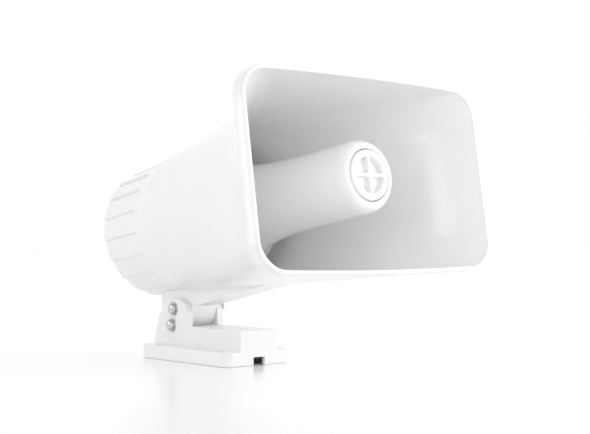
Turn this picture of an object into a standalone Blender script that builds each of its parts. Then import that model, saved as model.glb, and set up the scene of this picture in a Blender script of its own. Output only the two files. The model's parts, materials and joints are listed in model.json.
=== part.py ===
"""Outdoor horn loudspeaker: a re-entrant horn with a rectangular mouth on a tilting base.

Metres, +Z up.  The origin is the centre of the base's mounting face.  The mouth faces -Y.
The horn's own pieces are modelled in the horn frame, whose origin lies on the tilt axis and
whose axis runs along Y, and the empty "tilt_axis" places and pitches them all.
"""
import math

import bmesh
import bpy
from mathutils import Vector

# ---------------------------------------------------------------- driving dimensions
GAP = 0.0003                  # clearance between faces that touch on the real object
RING = 76                     # points round the horn, four for each flute

# base
PLATE_WIDTH = 0.058
PLATE_LENGTH = 0.102
PLATE_HEIGHT = 0.0098
PLATE_CORNER = 0.0075
BASE_WALL = 0.0028
BLOCK_WIDTH = 0.0324
BLOCK_TOP = 0.0238
EAR_THICKNESS = 0.0050
EAR_FRONT = 0.0098            # the ears' straight front edge
EAR_NOSE = 0.0120             # radius where that edge turns over the top
EAR_TOP = 0.0430
EAR_BACK_CENTRE = 0.0250      # the ears' back is a quarter of an ellipse about this point
EAR_BACK_LENGTH = 0.0255
WELL_FLOOR = 0.0150
RECESS_DEPTH = 0.0008
RECESS_LEAD = 0.0029          # the recess starts this far in front of the pivot
SLOT_WIDTH = 0.0100
SLOT_HEIGHT = 0.0056
MOUNT_HOLE_RADIUS = 0.0023
MOUNT_HOLE_PITCH = 0.072
MOUNT_BOSS_RADIUS = 0.0046
CENTRE_BOSS_RADIUS = 0.0060
RIB = 0.0024

# tilt joint
PIVOT_Y = 0.0270
PIVOT_Z = 0.0358
REST_PITCH = math.radians(8.8)
SCREW_RADIUS = 0.0024
SCREW_HEAD_RADIUS = 0.0040
SCREW_HEAD_HEIGHT = 0.0026
PIVOT_SCREW_END = 0.0300
LOCK_SCREW_END = 0.0230
WASHER_RADIUS = 0.0049
WASHER_THICKNESS = 0.0010
NUT_FLATS = 0.0078
NUT_HEIGHT = 0.0036
LOCK_DROP = 0.0119
LOCK_BACK = 0.0022
LOCK_SWEEP_UP = math.radians(30.0)
LOCK_SWEEP_DOWN = math.radians(18.0)
FIT = 0.0003                  # radial clearance of a screw in its hole

# foot
FOOT_WIDTH = BLOCK_WIDTH - 2.0 * EAR_THICKNESS - 2.0 * GAP
FOOT_REAR = 0.0207
FOOT_REAR_DROP = 0.0020       # how far above the pivot the foot's rear face ends
FOOT_REACH = 0.0880
DRUM_RADIUS = 0.0160
DRUM_CLEARANCE = 0.0012
SLOPE_START = 0.0215
SLOPE_ANGLE = math.radians(3.4)
FOOT_SCREW_RADIUS = 0.0015
FOOT_SCREW_SPREAD = 0.0065
FOOT_SCREW_LEAD = 0.0045      # how far in front of the pivot the foot's screws stand
FOOT_SCREW_BITE = 0.0060      # how far above the pivot they end
CABLE_HOLE_RADIUS = 0.0024
CABLE_HOLE_BACK = 0.0150      # how far behind the pivot the cable drops through the foot

# horn shell
AXIS_RISE = 0.0611
MOUTH_WIDTH = 0.2032
MOUTH_HEIGHT = 0.1255
MOUTH_CORNER = 0.0200
MOUTH_REACH = 0.2025
FLANGE_DEPTH = 0.0092
LIP_WALL = 0.0026
CROWN_TOP = 0.0019
BODY_RADIUS = 0.0480
BODY_DRAFT = 0.0012
SHOULDER_RADIUS = 0.0520
SHOULDER_START = 0.0110
SHOULDER_END = 0.0220
REAR_REACH = 0.0348
SHELL_WALL = 0.0026
WIDTH_FLARE = 3.0             # how sharply the width grows towards the mouth
HEIGHT_FLARE = 0.3
CORNER_FLARE = 2.0
FLUTES = 19
FLUTE_DEPTH = 0.0016
BULKHEAD_FRONT = 0.0150
BULKHEAD_WALL = 0.0040
THROAT_RADIUS = 0.0105

# rear cover
COVER_WALL = 0.0028
COVER_DOME = 0.0022
COVER_SEAT = 0.0050
BOSS_RADIUS = 0.0038
BOSS_CIRCLE = 0.0405
COVER_SCREW_RADIUS = 0.0014
COVER_SCREW_HEAD = 0.0027
COVER_SCREW_LENGTH = 0.0110
GASKET_THICKNESS = 0.0010
GASKET_WIDTH = 0.0019

# reflector and throat tube
REFLECTOR_TIP = 0.1962
REFLECTOR_RADIUS = 0.0233
REFLECTOR_LIP = 0.0600
REFLECTOR_FLARE = 0.0170      # how much wider the reflector's rear lip is than its tip
REFLECTOR_DECAY = 0.0240      # the length over which that flare dies away
REFLECTOR_WALL = 0.0024
NOSE_EDGE = 0.0036
PLUG_SEAT = 0.0070            # depth of the seat that the nose plug fills
PLUG_RADIUS = 0.0158
PLUG_THICKNESS = 0.0050
PLUG_PROUD = 0.0008
PLUG_POCKET = 0.0118
PLUG_POCKET_DEPTH = 0.0034
PLUG_RIB = 0.0018
POST_RADIUS = 0.0042
REFLECTOR_SCREW_RADIUS = 0.0015
REFLECTOR_SCREW_HEAD = 0.0030
TUBE_MOUTH = 0.1600
TUBE_THROAT = 0.0105
TUBE_FLARE = 0.0030           # how much the tube's bore grows towards its open end
TUBE_WALL = 0.0020
TUBE_FLANGE_RADIUS = 0.0230
TUBE_FLANGE = 0.0030
SPIDER_BOSS = 0.0036
SPIDER_RIB = 0.0016
SPIDER_LENGTH = 0.0140

# compression driver, front to back
DRIVER_GASKET = 0.0008
FRAME_RADIUS = 0.0362
FRAME_THICKNESS = 0.0070
FRAME_DISH_RADIUS = 0.0270
FRAME_DISH = 0.0045
FRAME_SCREW_RADIUS = 0.0014
FRAME_SCREW_HEAD = 0.0025
FRAME_SCREW_CIRCLE = 0.0330
CLAMP_INNER = 0.0222
CLAMP_THICKNESS = 0.0040
DOME_RADIUS = 0.0134
DOME_RISE = 0.0026
SURROUND_RADIUS = 0.0216
DIAPHRAGM_WALL = 0.0005
DIAPHRAGM_TRAVEL = 0.0004
COIL_WALL = 0.0006
COIL_HEIGHT = 0.0068
COIL_CLEARANCE = 0.0006
TOP_PLATE_RADIUS = 0.0285
TOP_PLATE = 0.0050
MAGNET_RADIUS = 0.0298
MAGNET_BORE = 0.0180
MAGNET_HEIGHT = 0.0120
YOKE_PLATE = 0.0045
TERMINAL_WIDTH = 0.0180
TERMINAL_HEIGHT = 0.0066
TERMINAL_DEPTH = 0.0090
TERMINAL_CLEARANCE = 0.0008
TERMINAL_SCREW_RADIUS = 0.0018
TAG_SIZE = 0.0040
LEAD_RADIUS = 0.0006
LEAD_ORBIT = 0.0333           # the leads run round the magnet at this radius
LEAD_TURN = math.radians(72.0)


# ---------------------------------------------------------------- small helpers
def clear_scene():
    for item in list(bpy.data.objects):
        bpy.data.objects.remove(item, do_unlink=True)


def material(name, colour, roughness, metallic=0.0):
    made = bpy.data.materials.new(name)
    made.use_nodes = True
    shader = made.node_tree.nodes["Principled BSDF"]
    shader.inputs["Base Color"].default_value = (*colour, 1.0)
    shader.inputs["Roughness"].default_value = roughness
    shader.inputs["Metallic"].default_value = metallic
    return made


def finish(name, work, finish_material, parent=None):
    """Turn a bmesh into a named object with outward faces."""
    bmesh.ops.remove_doubles(work, verts=work.verts, dist=0.000001)
    bmesh.ops.recalc_face_normals(work, faces=work.faces)
    mesh = bpy.data.meshes.new(name)
    work.to_mesh(mesh)
    work.free()
    mesh.shade_smooth()
    mesh.set_sharp_from_angle(angle=math.radians(35.0))
    mesh.materials.append(finish_material)
    made = bpy.data.objects.new(name, mesh)
    bpy.context.scene.collection.objects.link(made)
    made.parent = parent
    return made


def loft(rings, closed=False):
    """Skin a list of point rings; the ends are capped, or joined when the body is closed."""
    work = bmesh.new()
    rows = [[work.verts.new(point) for point in ring] for ring in rings]
    count = len(rows[0])
    pairs = list(zip(rows, rows[1:]))
    if closed:
        pairs.append((rows[-1], rows[0]))
    for first, second in pairs:
        for i in range(count):
            j = (i + 1) % count
            work.faces.new((first[i], first[j], second[j], second[i]))
    if not closed:
        work.faces.new(rows[0])
        work.faces.new(list(reversed(rows[-1])))
    return work


def circle(radius, along, centre=(0.0, 0.0), count=RING):
    """Points of a circle round the horn's axis direction, at "along" in front of the pivot."""
    steps = [2.0 * math.pi * i / count for i in range(count)]
    return [
        Vector((centre[0] + radius * math.cos(a), -along, centre[1] + radius * math.sin(a)))
        for a in steps
    ]


def turned(name, outline, finish_material, parent, centre=(0.0, AXIS_RISE), count=40, closed=True):
    """A body turned about a line parallel to the horn's axis; outline holds (along, radius)."""
    rings = [circle(radius, along, centre, count) for along, radius in outline]
    return finish(name, loft(rings, closed), finish_material, parent)


def cross_turned(name, outline, centre, finish_material, parent, count=20, closed=False):
    """A body turned about a line parallel to X; outline holds (x, radius)."""
    rings = []
    for x, radius in outline:
        steps = [2.0 * math.pi * i / count for i in range(count)]
        rings.append([
            Vector((x, centre[0] + radius * math.cos(a), centre[1] + radius * math.sin(a)))
            for a in steps
        ])
    return finish(name, loft(rings, closed), finish_material, parent)


def extrude_x(outline, x_low, x_high):
    """A prism whose outline lies in the Y-Z plane."""
    return loft([[Vector((x, y, z)) for y, z in outline] for x in (x_low, x_high)])


def extrude_z(outline, z_low, z_high):
    """A prism whose outline lies in the X-Y plane."""
    return loft([[Vector((x, y, z)) for x, y in outline] for z in (z_low, z_high)])


def box(low, high):
    outline = [(low[0], low[1]), (high[0], low[1]), (high[0], high[1]), (low[0], high[1])]
    return extrude_z(outline, low[2], high[2])


def rounded_rectangle(half_x, half_y, corner, steps=6):
    points = []
    for sign_x, sign_y, start in ((1, 1, 0), (-1, 1, 90), (-1, -1, 180), (1, -1, 270)):
        for i in range(steps + 1):
            a = math.radians(start + 90.0 * i / steps)
            points.append((
                sign_x * (half_x - corner) + corner * math.cos(a),
                sign_y * (half_y - corner) + corner * math.sin(a),
            ))
    return points


def apply_boolean(target, work, operation):
    """Cut a bmesh out of an object, or join it on, and keep the result as the object's mesh."""
    tool = finish("tool", work, target.data.materials[0], target.parent)
    change = target.modifiers.new("change", "BOOLEAN")
    change.operation = operation
    change.solver = "EXACT"
    change.object = tool
    bpy.context.view_layer.update()
    evaluated = target.evaluated_get(bpy.context.evaluated_depsgraph_get())
    result = bpy.data.meshes.new_from_object(evaluated)
    target.modifiers.remove(change)
    target.data = result
    bpy.data.objects.remove(tool, do_unlink=True)


def cut(target, work):
    apply_boolean(target, work, "DIFFERENCE")


def join(target, work):
    apply_boolean(target, work, "UNION")


def rod_along(low, high, radius, centre, count=16):
    """A round bar parallel to the horn's axis, from "along" low to high."""
    return loft([circle(radius, low, centre, count), circle(radius, high, centre, count)])


def rod_across(low, high, radius, centre, count=20):
    """A round bar parallel to X."""
    rings = []
    for x in (low, high):
        steps = [2.0 * math.pi * i / count for i in range(count)]
        rings.append([
            Vector((x, centre[0] + radius * math.cos(a), centre[1] + radius * math.sin(a)))
            for a in steps
        ])
    return loft(rings)


def rod_up(low, high, radius, centre, count=16):
    """A round bar parallel to Z."""
    steps = [2.0 * math.pi * i / count for i in range(count)]
    outline = [(centre[0] + radius * math.cos(a), centre[1] + radius * math.sin(a)) for a in steps]
    return extrude_z(outline, low, high)


def arc(centre, radius, start, stop, steps, stretch=1.0):
    """Points of an arc in a plane, in degrees; stretch makes it part of an ellipse."""
    points = []
    for i in range(steps + 1):
        a = math.radians(start + (stop - start) * i / steps)
        points.append((centre[0] + radius * math.cos(a), centre[1] + radius * stretch * math.sin(a)))
    return points


# ---------------------------------------------------------------- horn shell sections
FLARE_END = MOUTH_REACH - FLANGE_DEPTH
BULKHEAD_BACK = BULKHEAD_FRONT - BULKHEAD_WALL
CHAMBER_RADIUS = BODY_RADIUS - FLUTE_DEPTH - SHELL_WALL
SEAT_RADIUS = CHAMBER_RADIUS + 0.0010
SEAT_FACE = COVER_SEAT - REAR_REACH


def flare_share(u, rate):
    """0 at the shoulder and 1 at the flange, growing ever faster between them."""
    return math.expm1(rate * u) / math.expm1(rate)


def quarter_point(run, flat_x, flat_z, corner):
    """The point at a distance along one quarter of the outline, from the side to the top."""
    if run < flat_z:
        return flat_x + corner, run
    run -= flat_z
    if run < corner * math.pi / 2.0:
        a = run / corner
        return flat_x + corner * math.cos(a), flat_z + corner * math.sin(a)
    return flat_x - (run - corner * math.pi / 2.0), flat_z + corner


def section(half_x, half_z, corner, crown, along):
    """A ring of evenly spaced points: a rectangle with round corners, bowed by the crown."""
    quarter = RING // 4
    flat_x = half_x - corner
    flat_z = half_z - corner
    total = flat_x + flat_z + corner * math.pi / 2.0
    ring = []
    for i in range(RING):
        side, step = divmod(i, quarter)
        run = total * (step + 0.5) / quarter
        if side % 2:
            run = total - run
        x, z = quarter_point(run, flat_x, flat_z, corner)
        z *= 1.0 - crown / half_z * (x / half_x) ** 2
        sign_x = 1.0 if side in (0, 3) else -1.0
        sign_z = 1.0 if side in (0, 1) else -1.0
        ring.append(Vector((sign_x * x, -along, AXIS_RISE + sign_z * z)))
    return ring


def plain_ring(radius, along):
    return section(radius, radius, radius, 0.0, along)


def flare_ring(along, inset=0.0):
    """The flare's section between the shoulder and the flange, moved in by the wall."""
    u = min(max((along - SHOULDER_END) / (FLARE_END - SHOULDER_END), 0.0), 1.0)
    half_x = SHOULDER_RADIUS + (MOUTH_WIDTH / 2.0 - SHOULDER_RADIUS) * flare_share(u, WIDTH_FLARE)
    half_z = SHOULDER_RADIUS + (MOUTH_HEIGHT / 2.0 - SHOULDER_RADIUS) * flare_share(u, HEIGHT_FLARE)
    corner = SHOULDER_RADIUS + (MOUTH_CORNER - SHOULDER_RADIUS) * u ** CORNER_FLARE
    return section(half_x - inset, half_z - inset, corner - inset, CROWN_TOP * u, along)


def fluted_ring(along, depth):
    """A round ring that steps in at the top of each flute and eases out again below it."""
    share = (along + REAR_REACH) / (SHOULDER_START + REAR_REACH)
    radius = BODY_RADIUS + BODY_DRAFT * share
    per_flute = RING // FLUTES
    middle = Vector((0.0, -along, AXIS_RISE))
    ring = []
    for i, point in enumerate(plain_ring(radius, along)):
        dip = depth * (1.0 - (i % per_flute) / (per_flute - 1.0))
        ring.append(middle + (point - middle) * (1.0 - dip / radius))
    return ring


def shell_skin():
    """The rings of the shell's outer skin, from the rear rim to the flange's back edge."""
    rings = [
        fluted_ring(-REAR_REACH, FLUTE_DEPTH),
        fluted_ring(SHOULDER_START - 0.003, FLUTE_DEPTH),
        fluted_ring(SHOULDER_START, 0.0),
    ]
    steps = 8
    for i in range(steps + 1):
        u = 1.0 - (1.0 - i / steps) ** 1.3
        rings.append(flare_ring(SHOULDER_END + (FLARE_END - SHOULDER_END) * u))
    return rings


def skin_cutter():
    """The whole volume inside the shell's skin, larger all round by the clearance."""
    grown = []
    for ring in shell_skin():
        middle = Vector((0.0, ring[0].y, AXIS_RISE))
        grown.append([point + (point - middle).normalized() * GAP for point in ring])
    return loft(grown)


# ---------------------------------------------------------------- base
def ear_and_block_outline():
    """Side view of the block and its ears, in world Y and Z, starting at the lower front."""
    front = -PLATE_LENGTH / 2.0
    low = PLATE_HEIGHT / 2.0
    outline = [(front, low), (front, BLOCK_TOP), (EAR_FRONT, BLOCK_TOP)]
    nose = (EAR_FRONT + EAR_NOSE, EAR_TOP - EAR_NOSE)
    outline += arc(nose, EAR_NOSE, 180.0, 90.0, 7)
    stretch = (EAR_TOP - PLATE_HEIGHT) / EAR_BACK_LENGTH
    outline += arc((EAR_BACK_CENTRE, PLATE_HEIGHT), EAR_BACK_LENGTH, 88.0, 0.0, 12, stretch)
    outline.append((EAR_BACK_CENTRE + EAR_BACK_LENGTH, low))
    return outline


def lock_place():
    return PIVOT_Y + LOCK_BACK, PIVOT_Z - LOCK_DROP


def mount_hole_places():
    x = (PLATE_WIDTH + BLOCK_WIDTH) / 4.0
    y = MOUNT_HOLE_PITCH / 2.0
    return [(sx * x, sy * y) for sx in (-1, 1) for sy in (-1, 1)]


def build_base(white):
    """Plate, block and ears: one moulding, hollow from below."""
    half_x = PLATE_WIDTH / 2.0
    half_y = PLATE_LENGTH / 2.0
    plate = rounded_rectangle(half_x, half_y, PLATE_CORNER)
    base = finish("base_housing", extrude_z(plate, 0.0, PLATE_HEIGHT), white)
    half_block = BLOCK_WIDTH / 2.0
    join(base, extrude_x(ear_and_block_outline(), -half_block, half_block))
    well_x = half_block - EAR_THICKNESS
    well_front = PIVOT_Y - DRUM_RADIUS - DRUM_CLEARANCE
    cut(base, box((-well_x, well_front, WELL_FLOOR), (well_x, half_y + 0.01, EAR_TOP + 0.01)))
    cut(base, box((-well_x, well_front - 0.002, BLOCK_TOP), (well_x, half_y, EAR_TOP + 0.01)))
    hollow = rounded_rectangle(half_x - BASE_WALL, half_y - BASE_WALL, PLATE_CORNER - BASE_WALL)
    cut(base, extrude_z(hollow, -0.001, PLATE_HEIGHT - BASE_WALL))
    cut(base, box(
        (-half_block + BASE_WALL, -half_y + BASE_WALL, 0.001),
        (half_block - BASE_WALL, well_front - BASE_WALL, BLOCK_TOP - BASE_WALL)))
    rib_top = PLATE_HEIGHT - BASE_WALL / 2.0
    join(base, box((-half_x + 0.001, -RIB / 2.0, 0.0), (half_x - 0.001, RIB / 2.0, rib_top)))
    join(base, rod_up(0.0, BLOCK_TOP - BASE_WALL / 2.0, CENTRE_BOSS_RADIUS, (0.0, 0.0)))
    for place in mount_hole_places():
        join(base, rod_up(0.0, rib_top, MOUNT_BOSS_RADIUS, place))
        cut(base, rod_up(-0.001, PLATE_HEIGHT + 0.001, MOUNT_HOLE_RADIUS, place, 48))
    cut(base, box(
        (-SLOT_WIDTH / 2.0, -half_y - 0.001, -0.001),
        (SLOT_WIDTH / 2.0, -half_y + BASE_WALL + 0.001, SLOT_HEIGHT)))
    for side in (-1.0, 1.0):
        x_low, x_high = sorted((side * (half_block - RECESS_DEPTH), side * (half_block + 0.001)))
        cut(base, box(
            (x_low, PIVOT_Y - RECESS_LEAD, PLATE_HEIGHT), (x_high, half_y + 0.01, EAR_TOP + 0.01)))
        cut(base, rod_across(x_low, x_high, WASHER_RADIUS + 0.0005, (PIVOT_Y, PIVOT_Z), 32))
    for centre in ((PIVOT_Y, PIVOT_Z), lock_place()):
        cut(base, rod_across(-half_block - 0.001, half_block + 0.001, SCREW_RADIUS + FIT, centre))
    cable_z = (WELL_FLOOR + BLOCK_TOP) / 2.0 - 0.001
    cable = box(
        (-CABLE_HOLE_RADIUS, well_front - BASE_WALL - 0.001, cable_z - CABLE_HOLE_RADIUS),
        (CABLE_HOLE_RADIUS, well_front + 0.001, cable_z + CABLE_HOLE_RADIUS))
    cut(base, cable)
    return base


def build_through_screw(name, centre, end, steel):
    """Pan-head screw, two washers and a nut across both ears."""
    face = BLOCK_WIDTH / 2.0 - RECESS_DEPTH
    washer_out = face + GAP + WASHER_THICKNESS
    head_in = -washer_out - GAP
    head_out = head_in - SCREW_HEAD_HEIGHT
    crown = 0.7 * SCREW_HEAD_RADIUS
    cross_turned(name + "_screw", [
        (head_out, crown * 0.6), (head_out + SCREW_HEAD_HEIGHT * 0.3, crown * 1.25),
        (head_out + SCREW_HEAD_HEIGHT * 0.6, SCREW_HEAD_RADIUS), (head_in, SCREW_HEAD_RADIUS),
        (head_in, SCREW_RADIUS), (end - 0.0005, SCREW_RADIUS), (end, SCREW_RADIUS - 0.0005),
    ], centre, steel, None)
    for side, label in ((-1.0, "head"), (1.0, "nut")):
        low, high = sorted((side * (face + GAP), side * washer_out))
        cross_turned(name + "_washer_" + label, [
            (low, WASHER_RADIUS), (high, WASHER_RADIUS),
            (high, SCREW_RADIUS + FIT), (low, SCREW_RADIUS + FIT),
        ], centre, steel, None, closed=True)
    nut_low = washer_out + GAP
    corner = NUT_FLATS / 2.0 / math.cos(math.radians(30.0))
    nut = cross_turned(name + "_nut", [(nut_low, corner), (nut_low + NUT_HEIGHT, corner)],
                       centre, steel, None, count=6)
    cut(nut, rod_across(nut_low - 0.001, nut_low + NUT_HEIGHT + 0.001, SCREW_RADIUS + FIT, centre))


# ---------------------------------------------------------------- foot
def lock_angle():
    """The lock screw's direction from the pivot, in degrees in the horn frame's Y-Z plane."""
    return math.degrees(math.atan2(-LOCK_DROP, LOCK_BACK) + REST_PITCH)


def foot_screw_places():
    return [(side * FOOT_SCREW_SPREAD, -FOOT_SCREW_LEAD) for side in (-1.0, 1.0)]


def build_foot(tilt, white):
    """Pylon under the horn whose round lower end turns between the ears."""
    slope_rise = (FOOT_REACH - SLOPE_START) * math.tan(SLOPE_ANGLE)
    inside = AXIS_RISE - 0.6 * BODY_RADIUS
    outline = [(-FOOT_REACH, inside), (-FOOT_REACH, slope_rise), (-SLOPE_START, 0.0)]
    outline += arc((0.0, 0.0), DRUM_RADIUS, 178.0, 352.0, 20)
    outline += [(FOOT_REAR, FOOT_REAR_DROP), (FOOT_REAR, inside)]
    half = FOOT_WIDTH / 2.0
    foot = finish("tilt_foot", extrude_x(outline, -half, half), white, tilt)
    cut(foot, skin_cutter())
    cut(foot, rod_across(-half - 0.001, half + 0.001, SCREW_RADIUS + FIT, (0.0, 0.0)))
    cut(foot, lock_slot(half))
    cut(foot, rod_up(-DRUM_RADIUS - 0.001, inside, CABLE_HOLE_RADIUS, (0.0, CABLE_HOLE_BACK)))
    for place in foot_screw_places():
        cut(foot, rod_up(FOOT_SCREW_BITE - GAP, inside, FOOT_SCREW_RADIUS + FIT, place))
    return foot


def lock_slot(half):
    """Curved slot in the drum, concentric with the pivot, that the lock screw runs in."""
    orbit = math.hypot(LOCK_DROP, LOCK_BACK)
    reach = SCREW_RADIUS + FIT
    slack = math.degrees(1.4 * reach / orbit)
    low = lock_angle() - math.degrees(LOCK_SWEEP_DOWN) - slack
    high = lock_angle() + math.degrees(LOCK_SWEEP_UP) + slack
    outline = arc((0.0, 0.0), orbit + reach, low, high, 12)
    outline += arc((0.0, 0.0), orbit - reach, high, low, 12)
    return extrude_x(outline, -half - 0.001, half + 0.001)


def build_foot_screws(tilt, steel):
    floor = AXIS_RISE - math.sqrt(
        CHAMBER_RADIUS ** 2 - (FOOT_SCREW_SPREAD + 2.0 * FOOT_SCREW_RADIUS) ** 2) + GAP
    for number, place in enumerate(foot_screw_places(), 1):
        work = loft([
            [Vector((place[0] + r * math.cos(2.0 * math.pi * i / 16),
                     place[1] + r * math.sin(2.0 * math.pi * i / 16), z)) for i in range(16)]
            for z, r in (
                (FOOT_SCREW_BITE, FOOT_SCREW_RADIUS), (floor, FOOT_SCREW_RADIUS),
                (floor, 1.8 * FOOT_SCREW_RADIUS), (floor + 0.0016, 1.8 * FOOT_SCREW_RADIUS),
                (floor + 0.0021, FOOT_SCREW_RADIUS))
        ])
        finish("foot_screw_%d" % number, work, steel, tilt)


# ---------------------------------------------------------------- horn
def polar_places(radius, angles):
    return [
        (radius * math.cos(math.radians(a)), AXIS_RISE + radius * math.sin(math.radians(a)))
        for a in angles
    ]


def cover_screw_places():
    return polar_places(BOSS_CIRCLE, (45.0, 135.0, 225.0, 315.0))


def frame_screw_places():
    return polar_places(FRAME_SCREW_CIRCLE, (90.0, 210.0, 330.0))


def build_bell(tilt, white):
    """Flare, flange and fluted driver body: one moulding with a bulkhead across it."""
    rings = shell_skin()
    edge = 0.0009
    for along, inset in (
            (MOUTH_REACH - edge, 0.0), (MOUTH_REACH, edge),
            (MOUTH_REACH, LIP_WALL - 0.6 * edge), (MOUTH_REACH - edge, LIP_WALL)):
        rings.append(section(
            MOUTH_WIDTH / 2.0 - inset, MOUTH_HEIGHT / 2.0 - inset,
            MOUTH_CORNER - inset, CROWN_TOP, along))
    steps = 6
    for i in range(steps + 1):
        u = (1.0 - i / steps) ** 1.2
        rings.append(flare_ring(SHOULDER_END + (FLARE_END - SHOULDER_END) * u, SHELL_WALL))
    rings += [
        plain_ring(SHOULDER_RADIUS - SHELL_WALL - 0.0040, BULKHEAD_FRONT),
        plain_ring(THROAT_RADIUS, BULKHEAD_FRONT),
        plain_ring(THROAT_RADIUS, BULKHEAD_BACK),
        plain_ring(CHAMBER_RADIUS, BULKHEAD_BACK),
        plain_ring(CHAMBER_RADIUS, SEAT_FACE),
        plain_ring(SEAT_RADIUS, SEAT_FACE),
        plain_ring(SEAT_RADIUS, -REAR_REACH),
    ]
    bell = finish("bell", loft(rings, closed=True), white, tilt)
    for place in cover_screw_places():
        join(bell, rod_along(SEAT_FACE, BULKHEAD_BACK + 0.001, BOSS_RADIUS, place, 12))
        cut(bell, rod_along(SEAT_FACE - 0.001, SEAT_FACE + COVER_SCREW_LENGTH,
                            COVER_SCREW_RADIUS + FIT, place, 12))
    for place in frame_screw_places():
        cut(bell, rod_along(BULKHEAD_BACK - 0.001, BULKHEAD_FRONT + 0.001,
                            FRAME_SCREW_RADIUS + FIT, place, 12))
    floor_low = AXIS_RISE - BODY_RADIUS - 0.004
    floor_high = AXIS_RISE - BODY_RADIUS + 0.010
    for place in foot_screw_places():
        cut(bell, rod_up(floor_low, floor_high, FOOT_SCREW_RADIUS + FIT, place, 12))
    cut(bell, rod_up(floor_low, floor_high, CABLE_HOLE_RADIUS, (0.0, CABLE_HOLE_BACK), 12))
    return bell


def build_rear_cover(tilt, white, rubber, steel):
    """Cover disc that seats in the rear rim on a flat gasket, with its screws."""
    gasket_front = SEAT_FACE - GAP
    gasket_back = gasket_front - GASKET_THICKNESS
    outer = SEAT_RADIUS - GAP
    turned("rear_gasket", [
        (gasket_front, outer), (gasket_back, outer),
        (gasket_back, outer - GASKET_WIDTH), (gasket_front, outer - GASKET_WIDTH),
    ], rubber, tilt, count=36)
    front = gasket_back - GAP
    back = front - COVER_WALL
    plateau = BOSS_CIRCLE - BOSS_RADIUS - 0.0020
    cover = turned("rear_cover", [
        (front, outer), (back + 0.0006, outer), (back, outer - 0.0006),
        (back, plateau), (back - COVER_DOME, plateau - COVER_DOME),
    ], white, tilt, count=36, closed=False)
    for place in cover_screw_places():
        cut(cover, rod_along(back - 0.001, front + 0.001, COVER_SCREW_RADIUS + FIT, place, 12))
    head_front = back - GAP
    for number, place in enumerate(cover_screw_places(), 1):
        turned("rear_cover_screw_%d" % number, [
            (SEAT_FACE + COVER_SCREW_LENGTH - GAP, COVER_SCREW_RADIUS),
            (head_front, COVER_SCREW_RADIUS), (head_front, COVER_SCREW_HEAD),
            (head_front - 0.0011, COVER_SCREW_HEAD), (head_front - 0.0018, 0.6 * COVER_SCREW_HEAD),
        ], steel, tilt, place, 12, closed=False)


# ---------------------------------------------------------------- throat tube and reflector
def tube_bore(along):
    return TUBE_THROAT + TUBE_FLARE * (along - BULKHEAD_FRONT) / (TUBE_MOUTH - BULKHEAD_FRONT)


def reflector_radius(along):
    return REFLECTOR_RADIUS + REFLECTOR_FLARE * math.exp(-(along - REFLECTOR_LIP) / REFLECTOR_DECAY)


def build_throat_tube(tilt, white):
    """Tube that carries the driver's sound forward, with a spider in its open end."""
    start = BULKHEAD_FRONT + GAP
    tube = turned("throat_tube", [
        (start, TUBE_THROAT), (start, TUBE_FLANGE_RADIUS),
        (start + TUBE_FLANGE, TUBE_FLANGE_RADIUS), (start + TUBE_FLANGE, 0.0150),
        (start + 2.0 * TUBE_FLANGE, TUBE_THROAT + TUBE_WALL),
        (TUBE_MOUTH, tube_bore(TUBE_MOUTH) + TUBE_WALL), (TUBE_MOUTH, tube_bore(TUBE_MOUTH)),
    ], white, tilt, count=32)
    back = TUBE_MOUTH - SPIDER_LENGTH
    reach = tube_bore(back) + TUBE_WALL / 2.0
    half = SPIDER_RIB / 2.0
    join(tube, box((-reach, -TUBE_MOUTH, AXIS_RISE - half), (reach, -back, AXIS_RISE + half)))
    join(tube, box((-half, -TUBE_MOUTH, AXIS_RISE - reach), (half, -back, AXIS_RISE + reach)))
    axis = (0.0, AXIS_RISE)
    join(tube, rod_along(back, TUBE_MOUTH, SPIDER_BOSS, axis, 16))
    cut(tube, rod_along(back + 0.002, TUBE_MOUTH + 0.001, REFLECTOR_SCREW_RADIUS + FIT, axis, 12))
    return tube


def build_reflector(tilt, white, steel):
    """Long trumpet that turns the sound back: open at the rear, closed and plugged in front."""
    tip = REFLECTOR_TIP
    seat = tip - PLUG_SEAT
    radius = REFLECTOR_RADIUS
    bore = REFLECTOR_SCREW_RADIUS + FIT
    outline = [(REFLECTOR_LIP, reflector_radius(REFLECTOR_LIP) - REFLECTOR_WALL)]
    steps = 8
    span = tip - NOSE_EDGE - REFLECTOR_LIP
    for i in range(steps + 1):
        along = REFLECTOR_LIP + span * (i / steps) ** 1.7
        outline.append((along, reflector_radius(along)))
    outline += [(tip - 0.0010, radius - 0.0011), (tip, radius - NOSE_EDGE)]
    seat_radius = PLUG_RADIUS + GAP
    outline += [(tip, seat_radius + 0.0006), (tip - 0.0006, seat_radius), (seat, seat_radius)]
    outline += [(seat, bore), (TUBE_MOUTH + GAP, bore), (TUBE_MOUTH + GAP, POST_RADIUS)]
    dome = seat - REFLECTOR_WALL
    outline += [(dome, POST_RADIUS), (dome - 0.0005, radius - 0.0090)]
    inner_start = dome - 0.0060
    outline.append((inner_start, radius - REFLECTOR_WALL))
    for i in range(1, steps):
        along = inner_start + (REFLECTOR_LIP - inner_start) * (1.0 - (1.0 - i / steps) ** 1.7)
        outline.append((along, reflector_radius(along) - REFLECTOR_WALL))
    reflector = turned("reflector", outline, white, tilt, count=36)
    head_back = seat + GAP
    turned("reflector_screw", [
        (TUBE_MOUTH - 0.0100, REFLECTOR_SCREW_RADIUS), (head_back, REFLECTOR_SCREW_RADIUS),
        (head_back, REFLECTOR_SCREW_HEAD), (head_back + 0.0011, REFLECTOR_SCREW_HEAD),
        (head_back + 0.0016, 0.6 * REFLECTOR_SCREW_HEAD),
    ], steel, tilt, count=12, closed=False)
    return reflector


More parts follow.
